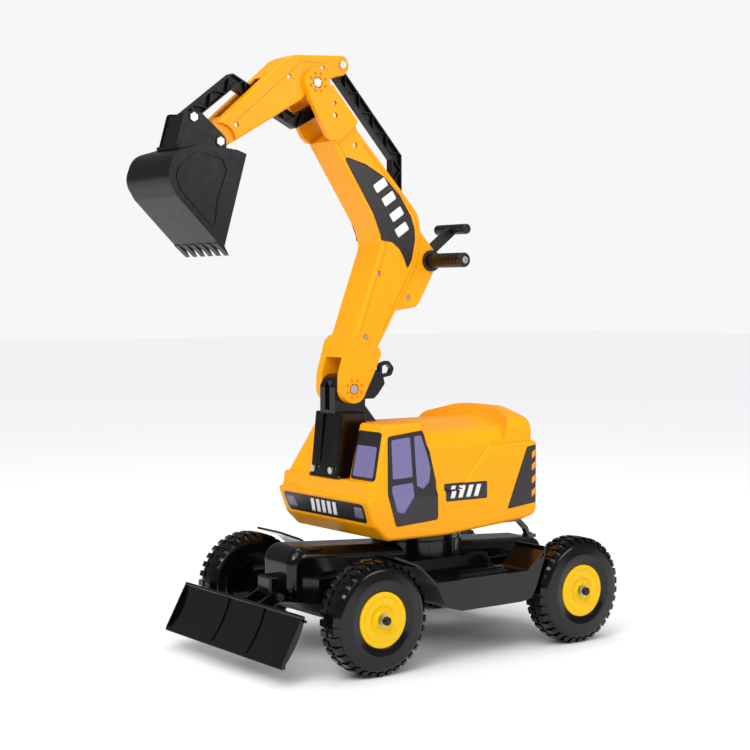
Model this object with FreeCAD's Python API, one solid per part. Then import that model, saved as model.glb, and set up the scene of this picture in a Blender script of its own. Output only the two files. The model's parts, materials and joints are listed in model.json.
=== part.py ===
import FreeCAD, Part
import math
import os
from FreeCAD import Vector

# Ride-on toy digger: a wheeled chassis, a swivelling body with a saddle, and a hand-worked boom.
# Millimetres. +Z is up, the digger faces -Y, its left (cab) side is +X. The origin lies on the
# ground, midway between the axles, and X = 0 is the middle plane.

# ---------------------------------------------------------------- driving dimensions
GAP = 0.3                       # air between pieces that move past each other
RUN = 0.05                      # radial clearance of a pin in its bore

# wheels and axles
WHEEL_R = 100.0                 # over the tread lugs
TREAD_R = 97.6                  # tyre crown between the lugs
WHEEL_W = 60.0
WHEEL_X = 206.0                 # middle of each tyre
AXLE_Y = 233.0                  # half the wheelbase
AXLE_Z = WHEEL_R
AXLE_R = 6.0
RIM_R = 48.5
LUGS = 34
BUSH_R = 9.0

# swivel between chassis and body
SWIVEL_Y = 18.0
DRUM_R = 86.0
DRUM_SPLIT_Z = 197.0
DRUM_FOOT_Z = 165.3
SWIVEL_BOLT_R = 10.0

# moulded body
BODY_HALF = 146.0
BODY_WALL = 3.6
BODY_FLOOR_Z = 217.0
BODY_REAR_Y = 197.5
SHELF_Z = 323.0                 # deck that the boom post stands on

# boom, dipper and links: pivots as (y, z)
BOOM_PIVOT = (-158.0, 484.5)
DIPPER_PIVOT = (-237.0, 1034.0)
TAIL_PIVOT = (-177.0, 1071.0)
BUCKET_PIVOT = (-432.0, 919.5)
LINK_BUCKET_PIVOT = (-484.0, 957.8)
LINK_BOOM_PIVOT = (-200.0, 1000.0)
GRIP_AXIS = (24.0, 721.0)
LEVER_PIN = (-34.0, 684.0)
T_BAR = (105.0, 783.0)
PIN_R = 5.0
LOOSE_PIN_R = 4.0               # pins of the two slack pivots
SLACK = 6.8                     # radial play that lets the linkage follow its true path

BOOM_HALF = 39.0                # half width of the boom shell
LUG_HALF = 43.5                 # half width over the fork lugs
LUG_R = 26.0
UPPER_FORK = 32.5               # inner faces of the fork that holds the dipper
LOWER_FORK = 25.2               # inner faces of the fork that straddles the post
SHELL = 3.0
SEAM = 0.1                      # half the line between two moulded halves
DIPPER_HALF = 32.0
DIPPER_TIP_HALF = 26.0
LINK_HALF_T = 9.0               # half thickness of the bucket link
POST_HALF = 24.0
POST_BOX_HALF = 42.5
LOBE_HALF = 36.0

# bucket
BUCKET_HALF = 75.0
BUCKET_WALL = 3.5
BRACKET_HALF = 30.5             # outer faces of the two bracket plates
BRACKET_WALL = 4.0
TEETH = 6

# blade
BLADE_HALF = 198.0
BLADE_PIVOT = (-312.0, 117.0)
BLADE_WALL = 4.0

# steps
STEP_IN = 111.0
STEP_OUT = 224.0
TREAD_Z = 149.0


# ---------------------------------------------------------------- small helpers
def on_side(x):
    """Placer for outlines drawn as (y, z) in a plane of constant x."""
    return lambda a, b: Vector(x, a, b)


def on_plan(z):
    """Placer for outlines drawn as (x, y) in a plane of constant z."""
    return lambda a, b: Vector(a, b, z)


def on_front(y):
    """Placer for outlines drawn as (x, z) in a plane of constant y."""
    return lambda a, b: Vector(a, y, b)


def rounded_wire(points, place):
    """Closed wire through points (a, b) or (a, b, r), each corner rounded to its radius r."""
    flat = [Vector(p[0], p[1], 0) for p in points]
    radii = [p[2] if len(p) > 2 else 0.0 for p in points]
    count = len(flat)
    starts, ends, mids = [], [], []
    for i in range(count):
        corner, radius = flat[i], radii[i]
        back = (flat[i - 1] - corner).normalize()
        ahead = (flat[(i + 1) % count] - corner).normalize()
        half = back.getAngle(ahead) / 2
        if radius <= 0 or half > math.pi / 2 - 0.01:
            starts.append(corner)
            ends.append(corner)
            mids.append(None)
            continue
        reach = radius / math.tan(half)
        middle = (back + ahead).normalize()
        starts.append(corner + back * reach)
        ends.append(corner + ahead * reach)
        mids.append(corner + middle * (radius / math.sin(half) - radius))
    edges = []
    for i in range(count):
        if mids[i] is not None:
            trio = [place(p.x, p.y) for p in (starts[i], mids[i], ends[i])]
            edges.append(Part.Arc(*trio).toShape())
        following = starts[(i + 1) % count]
        if (following - ends[i]).Length > 1e-6:
            edges.append(Part.LineSegment(place(ends[i].x, ends[i].y), place(following.x, following.y)).toShape())
    return Part.Wire(edges)


def side_face(points, x=0.0):
    return Part.Face(rounded_wire(points, on_side(x)))


def side_plate(points, x0, x1):
    """Solid with a (y, z) outline, from x0 to x1."""
    return side_face(points, x0).extrude(Vector(x1 - x0, 0, 0))


def plan_plate(points, z0, z1):
    return Part.Face(rounded_wire(points, on_plan(z0))).extrude(Vector(0, 0, z1 - z0))


def front_plate(points, y0, y1):
    return Part.Face(rounded_wire(points, on_front(y0))).extrude(Vector(0, y1 - y0, 0))


def inset_plate(points, inset, x0, x1):
    """Like side_plate, with the outline moved inwards."""
    return side_face(points, x0).makeOffset2D(-inset).extrude(Vector(x1 - x0, 0, 0))


def rod(at, radius, x0, x1):
    """Round bar along X through at = (y, z)."""
    return Part.makeCylinder(radius, x1 - x0, Vector(x0, at[0], at[1]), Vector(1, 0, 0))


def post(x, y, radius, z0, z1):
    return Part.makeCylinder(radius, z1 - z0, Vector(x, y, z0))


def hexagon(at, across, x0, x1):
    """Hexagonal bar along X through at = (y, z)."""
    reach = across / math.sqrt(3)
    turns = [math.radians(30 + 60 * k) for k in range(6)]
    return side_plate([(at[0] + reach * math.cos(t), at[1] + reach * math.sin(t)) for t in turns], x0, x1)


def block(x0, x1, y0, y1, z0, z1):
    return Part.makeBox(x1 - x0, y1 - y0, z1 - z0, Vector(x0, y0, z0))


def mirrored(shape):
    return shape.mirror(Vector(0, 0, 0), Vector(1, 0, 0))


def both(shape):
    """The shape and its mirror image, as a group."""
    return Part.makeCompound([shape, mirrored(shape)])


def joined(*shapes):
    return shapes[0].multiFuse(list(shapes[1:])).removeSplitter()


def soften(shape, radius, wanted):
    """Round every edge whose middle point passes the test wanted(point)."""
    picked = []
    for edge in shape.Edges:
        middle = edge.valueAt((edge.FirstParameter + edge.LastParameter) / 2)
        if wanted(middle):
            picked.append(edge)
    return shape.makeFillet(radius, picked)


def at_x(value):
    return lambda p: abs(p.x - value) < 1e-3


def sloped_block(low, high, z0, z1, corner):
    """Solid between rectangles low and high = (x0, x1, y0, y1), upright corners rounded."""
    wires = []
    for (x0, x1, y0, y1), z in ((low, z0), (high, z1)):
        square = [(x0, y0, corner), (x1, y0, corner), (x1, y1, corner), (x0, y1, corner)]
        wires.append(rounded_wire(square, on_plan(z)))
    return Part.makeLoft(wires, True, True)


def band(path, half):
    """Outline of a bar of constant width along path, with mitred bends."""
    pts = [Vector(p[0], p[1], 0) for p in path]
    left, right = [], []
    for i, p in enumerate(pts):
        before = (p - pts[i - 1]).normalize() if i else None
        after = (pts[i + 1] - p).normalize() if i + 1 < len(pts) else None
        way = ((before or after) + (after or before)).normalize()
        normal = Vector(-way.y, way.x, 0)
        spread = half / way.dot(after or before)
        round_in = path[i][2] if len(path[i]) > 2 else 0.0
        left.append((p.x + normal.x * spread, p.y + normal.y * spread, round_in))
        right.append((p.x - normal.x * spread, p.y - normal.y * spread, round_in))
    return left + right[::-1]


def ribbed_bar(path, half, half_t, flange, eyes, pitch):
    """Moulded bar: flanges round its edge, a thin web, and zigzag ribs on both sides."""
    web = 1.6
    rib = 1.6
    outline = band(path, half)
    body = side_plate(outline, -half_t, half_t)
    for eye in eyes:
        body = body.fuse(rod(eye, half + 0.5, -half_t, half_t))
    hollow = inset_plate(outline, flange, web, half_t + 1)
    ribs = []
    for a, b in zip(path[:-1], path[1:]):
        run = Vector(b[0] - a[0], b[1] - a[1], 0)
        way = Vector(run).normalize()
        across = Vector(-way.y, way.x, 0)
        steps = max(2, int(round(run.Length / pitch)))
        for k in range(steps):
            side = half if k % 2 else -half
            p = Vector(a[0], a[1], 0) + way * (run.Length * k / steps) + across * side
            q = Vector(a[0], a[1], 0) + way * (run.Length * (k + 1) / steps) - across * side
            ribs.append(side_plate(band([(p.x, p.y), (q.x, q.y)], rib / 2), 0, half_t))
    for eye in eyes:
        ribs.append(rod(eye, half - 1.5, 0, half_t))
    hollow = hollow.cut(Part.makeCompound(ribs))
    body = body.cut(hollow).cut(mirrored(hollow))
    for eye in eyes:
        body = body.cut(rod(eye, PIN_R + RUN, -half_t - 1, half_t + 1))
    return body


parts = {}


# ---------------------------------------------------------------- wheels
def make_tyre():
    """Blow-moulded tyre about the X axis: hollow ring with staggered shoulder lugs."""
    half = WHEEL_W / 2

    def ring(inset):
        h = half - inset
        low = RIM_R + 0.2 + inset
        top = TREAD_R - inset
        section = [(-h + 4, low, 3), (-h, low + 16, 22), (-h + 3, top - 9, 13), (-h + 16, top, 26),
                   (h - 16, top, 26), (h - 3, top - 9, 13), (h, low + 16, 22), (h - 4, low, 3)]
        face = Part.Face(rounded_wire(section, lambda a, b: Vector(a, 0, b)))
        return face.revolve(Vector(0, 0, 0), Vector(1, 0, 0), 360)

    tyre = ring(0)
    web = rod((0, 0), RIM_R + 2, -12, -8).fuse(rod((0, 0), 14, -26, 2))
    tyre = tyre.fuse(web)
    lug_low = TREAD_R - 6
    lugs = []
    for k in range(LUGS):
        for sign in (1, -1):
            section = [(sign * 2.0, TREAD_R - 4), (sign * 3.0, WHEEL_R), (sign * 20.0, WHEEL_R - 0.6), (sign * (half - 4.5), lug_low)]
            face = Part.Face(rounded_wire(section, lambda a, b: Vector(a, -5.2, b)))
            lug = face.extrude(Vector(0, 10.4, 0))
            turn = 360.0 * k / LUGS + (180.0 / LUGS if sign < 0 else 0.0)
            lug.rotate(Vector(0, 0, 0), Vector(1, 0, 0), 180 + turn)
            lugs.append(lug)
    return tyre.multiFuse(lugs).cut(ring(4.0)).cut(rod((0, 0), BUSH_R, -40, 40))


def make_hub():
    """Dished hub about the X axis, its face towards +X."""
    face_x = WHEEL_W / 2 - 1.5
    section = [(2.2, BUSH_R), (2.2, 14), (face_x - 9, 15), (face_x - 7, 24), (face_x - 3.8, 34), (face_x - 3.5, RIM_R - 4),
               (face_x - 14, RIM_R - 3.5), (face_x - 14, RIM_R), (face_x - 1, RIM_R, 0.6), (face_x, RIM_R - 3, 0.6),
               (face_x, 41, 0.5), (face_x - 1.6, 39.5, 0.5), (face_x - 1.6, 26), (face_x - 4.5, 22, 3), (face_x - 4.5, 17),
               (face_x - 1, 14, 1.0), (face_x - 1, BUSH_R)]
    face = Part.Face(rounded_wire(section, lambda a, b: Vector(a, 0, b)))
    return face.revolve(Vector(0, 0, 0), Vector(1, 0, 0), 360)


def make_bush():
    """Flanged sleeve that the hub turns on."""
    sleeve = rod((0, 0), BUSH_R - 0.02, -27, WHEEL_W / 2 - 2.5)
    sleeve = sleeve.fuse(rod((0, 0), BUSH_R + 4, -29.5, -27))
    return sleeve.cut(rod((0, 0), AXLE_R + RUN, -40, 40))


tyre = make_tyre()
hub = make_hub()
bush = make_bush()
for end, y in (("front", -AXLE_Y), ("rear", AXLE_Y)):
    for side, sign in (("left", 1), ("right", -1)):
        for kind, shape in (("tyre", tyre), ("hub", hub), ("bush", bush)):
            copy = shape.copy()
            if sign < 0:
                copy.rotate(Vector(0, 0, 0), Vector(0, 0, 1), 180)
            copy.translate(Vector(sign * WHEEL_X, y, AXLE_Z))
            parts[f"{kind}_{end}_{side}"] = copy

axle_end = WHEEL_X + 36
cap_x = WHEEL_X + WHEEL_W / 2 + 0.5
spacers, washers, caps = [], [], []
for end, y in (("front", -AXLE_Y), ("rear", AXLE_Y)):
    at = (y, AXLE_Z)
    parts[f"{end}_axle"] = rod(at, AXLE_R, -axle_end, axle_end)
    washer = rod(at, 10.5, cap_x, cap_x + 1.6).cut(rod(at, AXLE_R + RUN, cap_x - 1, cap_x + 3))
    nut = soften(rod(at, 8.6, cap_x + 1.6, cap_x + 4.2), 1.0, at_x(cap_x + 4.2))
    washers += both(washer.fuse(nut.cut(rod(at, AXLE_R + RUN, cap_x, cap_x + 6)))).Solids
    cap = soften(rod(at, 7.6, cap_x + 4.4, cap_x + 12), 3.0, at_x(cap_x + 12))
    caps += both(cap.cut(rod(at, AXLE_R + RUN, cap_x, axle_end + 0.1))).Solids
    tube = rod(at, 10.5, 165.5, WHEEL_X - 29.8).cut(rod(at, AXLE_R + RUN, 160, 190))
    spacers += both(tube).Solids
parts["axle_push_nuts"] = Part.makeCompound(washers)
parts["axle_caps"] = Part.makeCompound(caps)
parts["axle_spacers"] = Part.makeCompound(spacers)


# ---------------------------------------------------------------- chassis
def beam_top(y):
    """Height of the centre beam's crown, which falls gently to the rear."""
    return 206.5 - (y + 302) * 0.0565


def make_chassis(inset):
    """Outer form of the blow-moulded chassis, or the same form moved inwards."""
    i = inset
    ridge_outline = [(-302 + i, 130), (-302 + i, beam_top(-302) - i, 32), (302 - i, beam_top(302) - i, 24), (302 - i, 130)]
    ridge = side_plate(ridge_outline, -52 + i, 52 - i)
    ridge = soften(ridge, 20, lambda p: abs(abs(p.x) - 52 + i) < 1e-3 and p.z > 131)
    pan_outline = [(-22 + i, -328 + i, 5), (22 - i, -328 + i, 5), (22 - i, -295), (80 - i, -262), (80 - i, 268),
                   (40 - i, 300 - i, 6), (-40 + i, 300 - i, 6), (-80 + i, 268), (-80 + i, -262), (-22 + i, -295)]
    pan = plan_plate(pan_outline, 106 + i, 153 - i)
    pan = soften(pan, 3.0, lambda p: p.z > 152.9 - i)
    middle = sloped_block((-110 + i, 110 - i, -112 + i, 132 - i), (-94 + i, 94 - i, -100 + i, 120 - i), 112 + i, 165 - i, 8)
    return joined(ridge, pan, middle)


def make_axle_beam(y, inset):
    """Box beam across the chassis that carries one axle."""
    i = inset
    section = [(y - 24 + i, 80 + i, 8), (y + 24 - i, 80 + i, 8), (y + 22 - i, 132 - i, 8), (y - 22 + i, 132 - i, 8)]
    beam = side_plate(section, -165 + i, 165 - i)
    return beam.cut(block(-81, 81, y - 40, y + 40, 105.9, 140))


chassis_outer = make_chassis(0)
chassis = chassis_outer.cut(make_chassis(4.0))
for end, y in (("front", -AXLE_Y), ("rear", AXLE_Y)):
    beam = make_axle_beam(y, 0).cut(make_axle_beam(y, 4.0))
    sleeve = rod((y, AXLE_Z), AXLE_R + 4, -165, 165).common(make_axle_beam(y, 0))
    parts[f"{end}_axle_beam"] = beam.fuse(sleeve).cut(rod((y, AXLE_Z), AXLE_R + RUN, -200, 200))
    chassis = chassis.cut(rod((y, AXLE_Z), AXLE_R + RUN, -200, 200))
pivot_sleeve = rod(BLADE_PIVOT, 8, -22, 22)
chassis = chassis.fuse(pivot_sleeve).cut(rod(BLADE_PIVOT, 4.0 + RUN, -40, 40))
swivel_sleeve = post(0, SWIVEL_Y, 18, 116, 184)
chassis = chassis.fuse(swivel_sleeve).cut(post(0, SWIVEL_Y, SWIVEL_BOLT_R + RUN, 100, 240))
chassis = chassis.cut(post(0, SWIVEL_Y, 22, 100, 119))
parts["chassis_frame"] = chassis

drum = soften(post(0, SWIVEL_Y, DRUM_R, DRUM_FOOT_Z, DRUM_SPLIT_Z - GAP), 2.0, lambda p: p.z > DRUM_SPLIT_Z - 1)
parts["turntable_base"] = drum.cut(chassis_outer).cut(post(0, SWIVEL_Y, SWIVEL_BOLT_R + RUN, 100, 240))

bolt = post(0, SWIVEL_Y, SWIVEL_BOLT_R, 118, 245).fuse(post(0, SWIVEL_Y, 17, 112, 118.9))
parts["swivel_bolt"] = bolt
top_nut = post(0, SWIVEL_Y, 17, 231.1, 240.5).cut(post(0, SWIVEL_Y, SWIVEL_BOLT_R + RUN, 200, 250))
parts["swivel_nut"] = top_nut

# bent bar behind the body, bolted to the tail of the beam: it keeps the saddle end from tipping down
stop_path = [(212, 206), (274, 206, 10), (296, 186, 10), (302, 172.5)]
stop_bar = side_plate(band(stop_path, 3.8), -6, 6)
stop_foot = block(-9, 9, 296, 318, 166.5, 173)
parts["rear_stop_bar"] = joined(stop_bar, stop_foot).cut(chassis_outer)
parts["rear_stop_screw"] = post(0, 311, 4.2, 173.02, 176).cut(block(-5, 5, 310.4, 311.6, 175, 177))


# ---------------------------------------------------------------- steps
def make_step():
    """Left-hand step: tread, upswept flares that clear the wheels, and an outer skirt."""
    wall = 4.0
    front_line = [(-201, 203), (-150, 184, 40), (-108, 146, 30), (-84, 104, 20), (-50, 95)]
    rear_line = [(88, 95.5), (112, 99, 10), (124, 118, 16), (147, 176, 12), (146, 191)]
    front = side_plate(band(front_line, wall / 2), STEP_IN + 34, STEP_OUT)
    rear = side_plate(band(rear_line, wall / 2), STEP_IN + 34, STEP_OUT)
    ramp = side_plate(band([(74, TREAD_Z - 2), (108, TREAD_Z - 1, 14), (144, 182)], wall / 2), STEP_IN + 34, STEP_OUT)
    tread = block(STEP_IN, STEP_OUT - 10, -108, 110, TREAD_Z - wall, TREAD_Z)
    skirt_outline = [(-52, 93, 12), (88, 93.5, 12), (114, 97, 8), (126, 117), (149, 176), (120, 163), (104, TREAD_Z),
                     (-107, TREAD_Z), (-84, 104, 8)]
    skirt = side_plate(skirt_outline, STEP_OUT - wall, STEP_OUT)
    bevel = front_plate([(STEP_OUT - 12, TREAD_Z), (STEP_OUT - 12, TREAD_Z - 5), (STEP_OUT - 4, 125), (STEP_OUT, 130)], -100, 98)
    cheek = block(STEP_IN, STEP_IN + 4, -70, 80, 124, TREAD_Z - wall)
    step = joined(front, rear, ramp, tread, skirt, bevel, cheek)
    ribs = []
    for k in range(11):
        y = -86 + 16.5 * k
        slant = [(STEP_IN + 12, y), (STEP_IN + 14, y), (STEP_OUT - 18, y + 11), (STEP_OUT - 20, y + 11)]
        ribs.append(plan_plate(slant, TREAD_Z, TREAD_Z + 1.6))
    for x in (STEP_IN + 12, STEP_IN + 52, STEP_OUT - 20):
        ribs.append(block(x, x + 2, -88, 92, TREAD_Z, TREAD_Z + 1.6))
    return step.multiFuse(ribs)


step = make_step().cut(chassis_outer)
parts["step_left"] = step
parts["step_right"] = mirrored(step)
screws = []
for y in (-48, 60):
    head = rod((y, 134), 5, STEP_IN + 4, STEP_IN + 7)
    shank = rod((y, 134), 2.4, STEP_IN - 5, STEP_IN + 4)
    screws += both(head.fuse(shank)).Solids
parts["step_screws"] = Part.makeCompound(screws)
for name in ("step_left", "step_right", "chassis_frame"):
    parts[name] = parts[name].cut(parts["step_screws"])


# ---------------------------------------------------------------- blade
def blade_curve(shift):
    """Edges of the blade's section: the front arc moved back by shift."""
    top = Vector(0, -374 + shift, 115)
    belly = Vector(0, -391 + shift, 72)
    foot = Vector(0, -416 + shift, 37)
    return top, belly, foot


def arc_strip(front, back):
    """Face between two three-point arcs."""
    edges = [Part.Arc(*front).toShape(), Part.LineSegment(front[2], back[2]).toShape(),
             Part.Arc(back[2], back[1], back[0]).toShape(), Part.LineSegment(back[0], front[0]).toShape()]
    return Part.Face(Part.Wire(edges))


front_arc = blade_curve(0)
back_arc = blade_curve(BLADE_WALL)
strip = arc_strip(front_arc, back_arc)
strip.translate(Vector(-BLADE_HALF, 0, 0))
board = strip.extrude(Vector(2 * BLADE_HALF, 0, 0))
cheek_edges = [Part.Arc(*back_arc).toShape(), Part.LineSegment(back_arc[2], Vector(0, -419, 37)).toShape(),
               Part.LineSegment(Vector(0, -419, 37), Vector(0, -376.5, 115)).toShape(),
               Part.LineSegment(Vector(0, -376.5, 115), back_arc[0]).toShape()]
cheek_face = Part.Face(Part.Wire(cheek_edges))
cheek_face.translate(Vector(BLADE_HALF - BLADE_WALL, 0, 0))
cheek = cheek_face.extrude(Vector(BLADE_WALL, 0, 0))
lip = side_plate([(-419, 32.5, 1), (-410, 32.5), (-409, 39), (-416, 41)], -BLADE_HALF, BLADE_HALF)
rim = rod((-373.5, 115), 3.2, -BLADE_HALF, BLADE_HALF)
ridges = []
for x in (-80, 38):
    ridge = arc_strip(blade_curve(-2.4), blade_curve(1.0))
    ridge.translate(Vector(x, 0, 0))
    ridges.append(ridge.extrude(Vector(42, 0, 0)))
stub = rod((-372, 109), 2.6, BLADE_HALF, BLADE_HALF + 5)
blade = joined(board, cheek, mirrored(cheek), lip, rim, *ridges).fuse(stub).fuse(mirrored(stub))

# arms from the back of the blade to the pivot on the nose of the chassis
arm_outline = [(-303, 107, 8), (-303, 127, 8), (-322, 127, 8), (-352, 112, 10), (-380, 112), (-380, 60), (-352, 82, 10),
               (-322, 107, 4)]
arm = side_plate(arm_outline, 22 + GAP, 28)
behind_blade = arc_strip(blade_curve(-60), back_arc)
behind_blade.translate(Vector(-300, 0, 0))
behind_blade = behind_blade.extrude(Vector(600, 0, 0))
tie = block(-60, 60, -379, -374, 64, 106)
arms = joined(arm, mirrored(arm), tie).cut(behind_blade)
arms = arms.cut(rod(BLADE_PIVOT, 4.0 + RUN, -40, 40))
parts["blade"] = blade
parts["blade_arms"] = arms
pin = rod(BLADE_PIVOT, 4.0, -32, 32).fuse(hexagon(BLADE_PIVOT, 13, 28 + GAP, 34)).fuse(hexagon(BLADE_PIVOT, 13, -34, -28 - GAP))
parts["blade_pivot_bolt"] = pin


# ---------------------------------------------------------------- body
def make_body(inset):
    """Outer form of the hollow body, or the same form moved inwards."""
    i = inset
    half = BODY_HALF - i
    lower_outline = [(-158, BODY_FLOOR_Z, 14), (-186, 244, 8), (-204, 292, 4), (-190, 299, 2), (10, 299, 20), (26, 318, 18),
                     (76, 375, 18), (BODY_REAR_Y, 380, 7), (BODY_REAR_Y, 240, 18), (165, 231.5, 40), (-20, BODY_FLOOR_Z, 80)]
    lower = inset_plate(lower_outline, i, -half, half) if i else side_plate(lower_outline, -half, half)
    shelf = sloped_block((-142 + i, 142 - i, -198 + i, -20), (-140 + i, 140 - i, -196 + i, -20), 294, SHELF_Z - i, 10)
    cab = sloped_block((60 + i, half, -193 + i, -40 - i), (63 + i, 137.5 - i, -163 + i, -71 - i), 290, 425 - i, 9)
    cowl = sloped_block((-144 + i, -62 - i, -199 + i, 20), (-137 + i, -64 - i, -128 + i, 20), 300, 411 - i, 12)
    crown = [(-140 + i, 290), (-140 + i, 404 - i, 40), (0, 425 - i, 300), (140 - i, 404 - i, 40), (140 - i, 290)]
    hood = front_plate(crown, -127 + i, 190 - i)
    crest = [(-139 + i, 290), (-139 + i, 420 - i, 28), (-55, 442 - i, 120), (55, 442 - i, 120), (139 - i, 420 - i, 28), (139 - i, 290)]
    back = front_plate(crest, 90, 190 - i)
    back = back.cut(Part.makeCone(338 + i, 362 + i, 70, Vector(0, -190, 385)))
    if not i:
        lower = soften(lower, 6.5, lambda p: abs(abs(p.x) - half) < 1e-3 and p.z < 290 and p.y > -150)
        shelf = soften(shelf, 3.5, lambda p: p.z > SHELF_Z - 0.1 and p.y < -30)
        cab = soften(cab, 7.0, lambda p: p.z > 424.9)
        cowl = soften(cowl, 8.0, lambda p: p.z > 410.9 and p.y < 10)
        hood = soften(hood, 6.0, lambda p: abs(p.y - 190) < 1e-3)
        back = soften(back, 7.0, lambda p: abs(p.y - 190) < 1e-3 and p.z > 291)
    return joined(lower, shelf, cab, cowl, hood, back)


body_outer = make_body(0)
body_shell = body_outer.cut(make_body(BODY_WALL))
seat = post(0, SWIVEL_Y, 36, 200, 227.5).common(body_outer)
body_shell = body_shell.fuse(seat).cut(post(0, SWIVEL_Y, SWIVEL_BOLT_R + 2, 200, 240))
parts["body_shell"] = body_shell

ring = post(0, SWIVEL_Y, DRUM_R - 2, DRUM_SPLIT_Z, 240)
ring = ring.cut(body_outer).cut(post(0, SWIVEL_Y, SWIVEL_BOLT_R + RUN, 100, 260))
parts["turntable_top"] = ring
seat_plate = post(0, SWIVEL_Y, 30, 227.6, 231.0).cut(post(0, SWIVEL_Y, SWIVEL_BOLT_R + RUN, 100, 260))
parts["swivel_washer"] = seat_plate


# ---------------------------------------------------------------- boom post and its lock
upper_post = [(-188, 440), (-188, 490, 10), (-176, 511, 22), (-140, 511, 22), (-120, 490, 16), (-120, 440)]
lower_post = [(-198, SHELF_Z + GAP, 2), (-186, 442, 3), (-131, 442, 3), (-131, SHELF_Z + GAP, 2)]
post_solid = side_plate(upper_post, -POST_HALF, POST_HALF)
box = soften(side_plate(lower_post, -POST_BOX_HALF, POST_BOX_HALF), 3.0, at_x(POST_BOX_HALF))
box = soften(box, 3.0, at_x(-POST_BOX_HALF))
gusset = side_plate([(-122, 470), (-115, 457), (-85, 422), (-85, SHELF_Z + GAP), (-132, SHELF_Z + GAP), (-132, 470)], -10, 10)
foot = sloped_block((-50, 50, -199, -76), (-48, 48, -197, -78), SHELF_Z + GAP, SHELF_Z + 5, 6)
post_solid = joined(post_solid, box, gusset, foot)
channel = block(-15, 15, -204, -194, 348, 438).fuse(block(-8, 8, -204, -183, 446, 500))
channel = channel.fuse(side_plate([(-204, 348), (-194, 348), (-183, 438), (-204, 438)], -15, 15))
post_solid = post_solid.cut(channel)
post_solid = post_solid.cut(rod(BOOM_PIVOT, PIN_R + RUN, -60, 60)).cut(body_outer)
seat_screws = []
for x in (-28, 28):
    shank = Part.makeCylinder(3.0, 22, Vector(x, -201.5, 337), Vector(0, 1, 0.05))
    head = Part.makeCylinder(6.4, 5, Vector(x, -202.9, 337), Vector(0, 1, 0.05))
    seat_screws.append(head.fuse(shank))
parts["post_bolts"] = Part.makeCompound(seat_screws)
post_solid = post_solid.cut(parts["post_bolts"])

SLIDE = Vector(0, 0.95, 0.31).normalize()
shank_end = Vector(0, -139, 476)
shank_length = 38.0
lock_block = [(-119, 464), (-119, 508, 3), (-104, 517, 6), (-78, 517, 4), (-70.6, 491, 6), (-87, 471, 4), (-96, 464, 4)]
lock = soften(side_plate(lock_block, -20, 20), 2.0, at_x(20))
lock = soften(lock, 2.0, at_x(-20))
lock = lock.fuse(Part.makeCylinder(6.0, shank_length, shank_end, SLIDE))
loop_line = [(-74, 500, 6), (-72, 528, 8), (-52, 534, 8), (-39, 519, 7), (-45, 505, 6)]
loop = side_plate(loop_line, -5, 5).cut(inset_plate(loop_line, 6.0, -6, 6))
lock = joined(lock, loop, block(-5, 5, -84, -72, 500, 514))
parts["boom_lock"] = lock.cut(inset_plate(loop_line, 6.0, -6, 6))
guide = Part.makeCylinder(6.0 + RUN, 60, shank_end - SLIDE * 1.0, SLIDE)
parts["boom_post"] = post_solid.cut(guide).cut(block(-30, 30, -119.3, -60, 455, 540))

# ---------------------------------------------------------------- boom
BOOM_LINE = [(-262, 1034), (-254, 1006, 24), (-216, 941, 8), (-205, 934, 8), (-103, 781, 30), (-92, 748, 30), (-130, 647, 60),
             (-152, 586, 16), (-165, 572, 16), (-183, 512, 20), (-184, 486), (-133, 477), (-113, 514, 20), (-97, 547, 8),
             (-100, 560, 8), (-79, 592, 60), (-8, 714, 60), (2, 768, 40), (-6, 808, 40), (-40, 845, 80), (-148, 958, 5),
             (-150, 971, 5), (-205, 1032)]
LOBE_LINE = [(-40, 815), (2, 776, 6), (35, 741, 16), (35, 702, 20), (2, 645, 14), (-8, 634, 10), (-62, 626), (-80, 700)]
UPPER_PAD = [(-262, 1034), (-254, 1006, 24), (-218, 943, 8), (-205, 934, 8), (-191, 934, 8), (-152, 966, 5), (-150, 971, 5),
             (-205, 1032)]
LOWER_PAD = [(-184, 486), (-183, 512, 20), (-165, 572, 16), (-152, 584, 10), (-101, 558, 8), (-97, 547, 8), (-113, 514, 20),
             (-133, 477)]
UPPER_GAP = [(-330, 890), (-215, 924), (-176, 955), (-120, 986), (-120, 1110), (-330, 1110)]
BOOM_SCREWS = [(-199, 978), (-153, 928), (-100, 696), (-29, 652), (-129, 580)]


def boss_pockets(at, face):
    """Bolt seat and the ring of eight pockets round it, cut into a face at x = face."""
    cuts = [rod(at, 10.5, face - 4.5, face + 1)]
    for k in range(8):
        turn = math.radians(22.5 + 45 * k)
        cuts.append(rod((at[0] + 16.2 * math.cos(turn), at[1] + 16.2 * math.sin(turn)), 3.4, face - 2.5, face + 1))
    return Part.makeCompound(cuts)


trunk = side_plate(BOOM_LINE, -BOOM_HALF, BOOM_HALF)
trunk = soften(trunk, 6.0, lambda p: abs(abs(p.x) - BOOM_HALF) < 1e-3 and 590 < p.z < 930)
lobe = side_plate(LOBE_LINE, -LOBE_HALF, LOBE_HALF)
lobe = soften(lobe, 6.0, lambda p: abs(abs(p.x) - LOBE_HALF) < 1e-3 and p.y > -20)
outer = [trunk, lobe]
for line, at in ((UPPER_PAD, DIPPER_PIVOT), (LOWER_PAD, BOOM_PIVOT)):
    outer.append(side_plate(line, -LUG_HALF, LUG_HALF))
    outer.append(rod(at, LUG_R, -LUG_HALF, LUG_HALF))
groove = side_face(BOOM_LINE).makeOffset2D(-9).cut(side_face(BOOM_LINE).makeOffset2D(-10.6))
groove = groove.extrude(Vector(3, 0, 0)).common(block(-1, 5, -260, 40, 592, 930))
boom = outer[0].multiFuse(outer[1:])
for face in (BOOM_HALF - 1.2, -BOOM_HALF - 1.8):
    cut = groove.copy()
    cut.translate(Vector(face, 0, 0))
    boom = boom.cut(cut)

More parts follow.
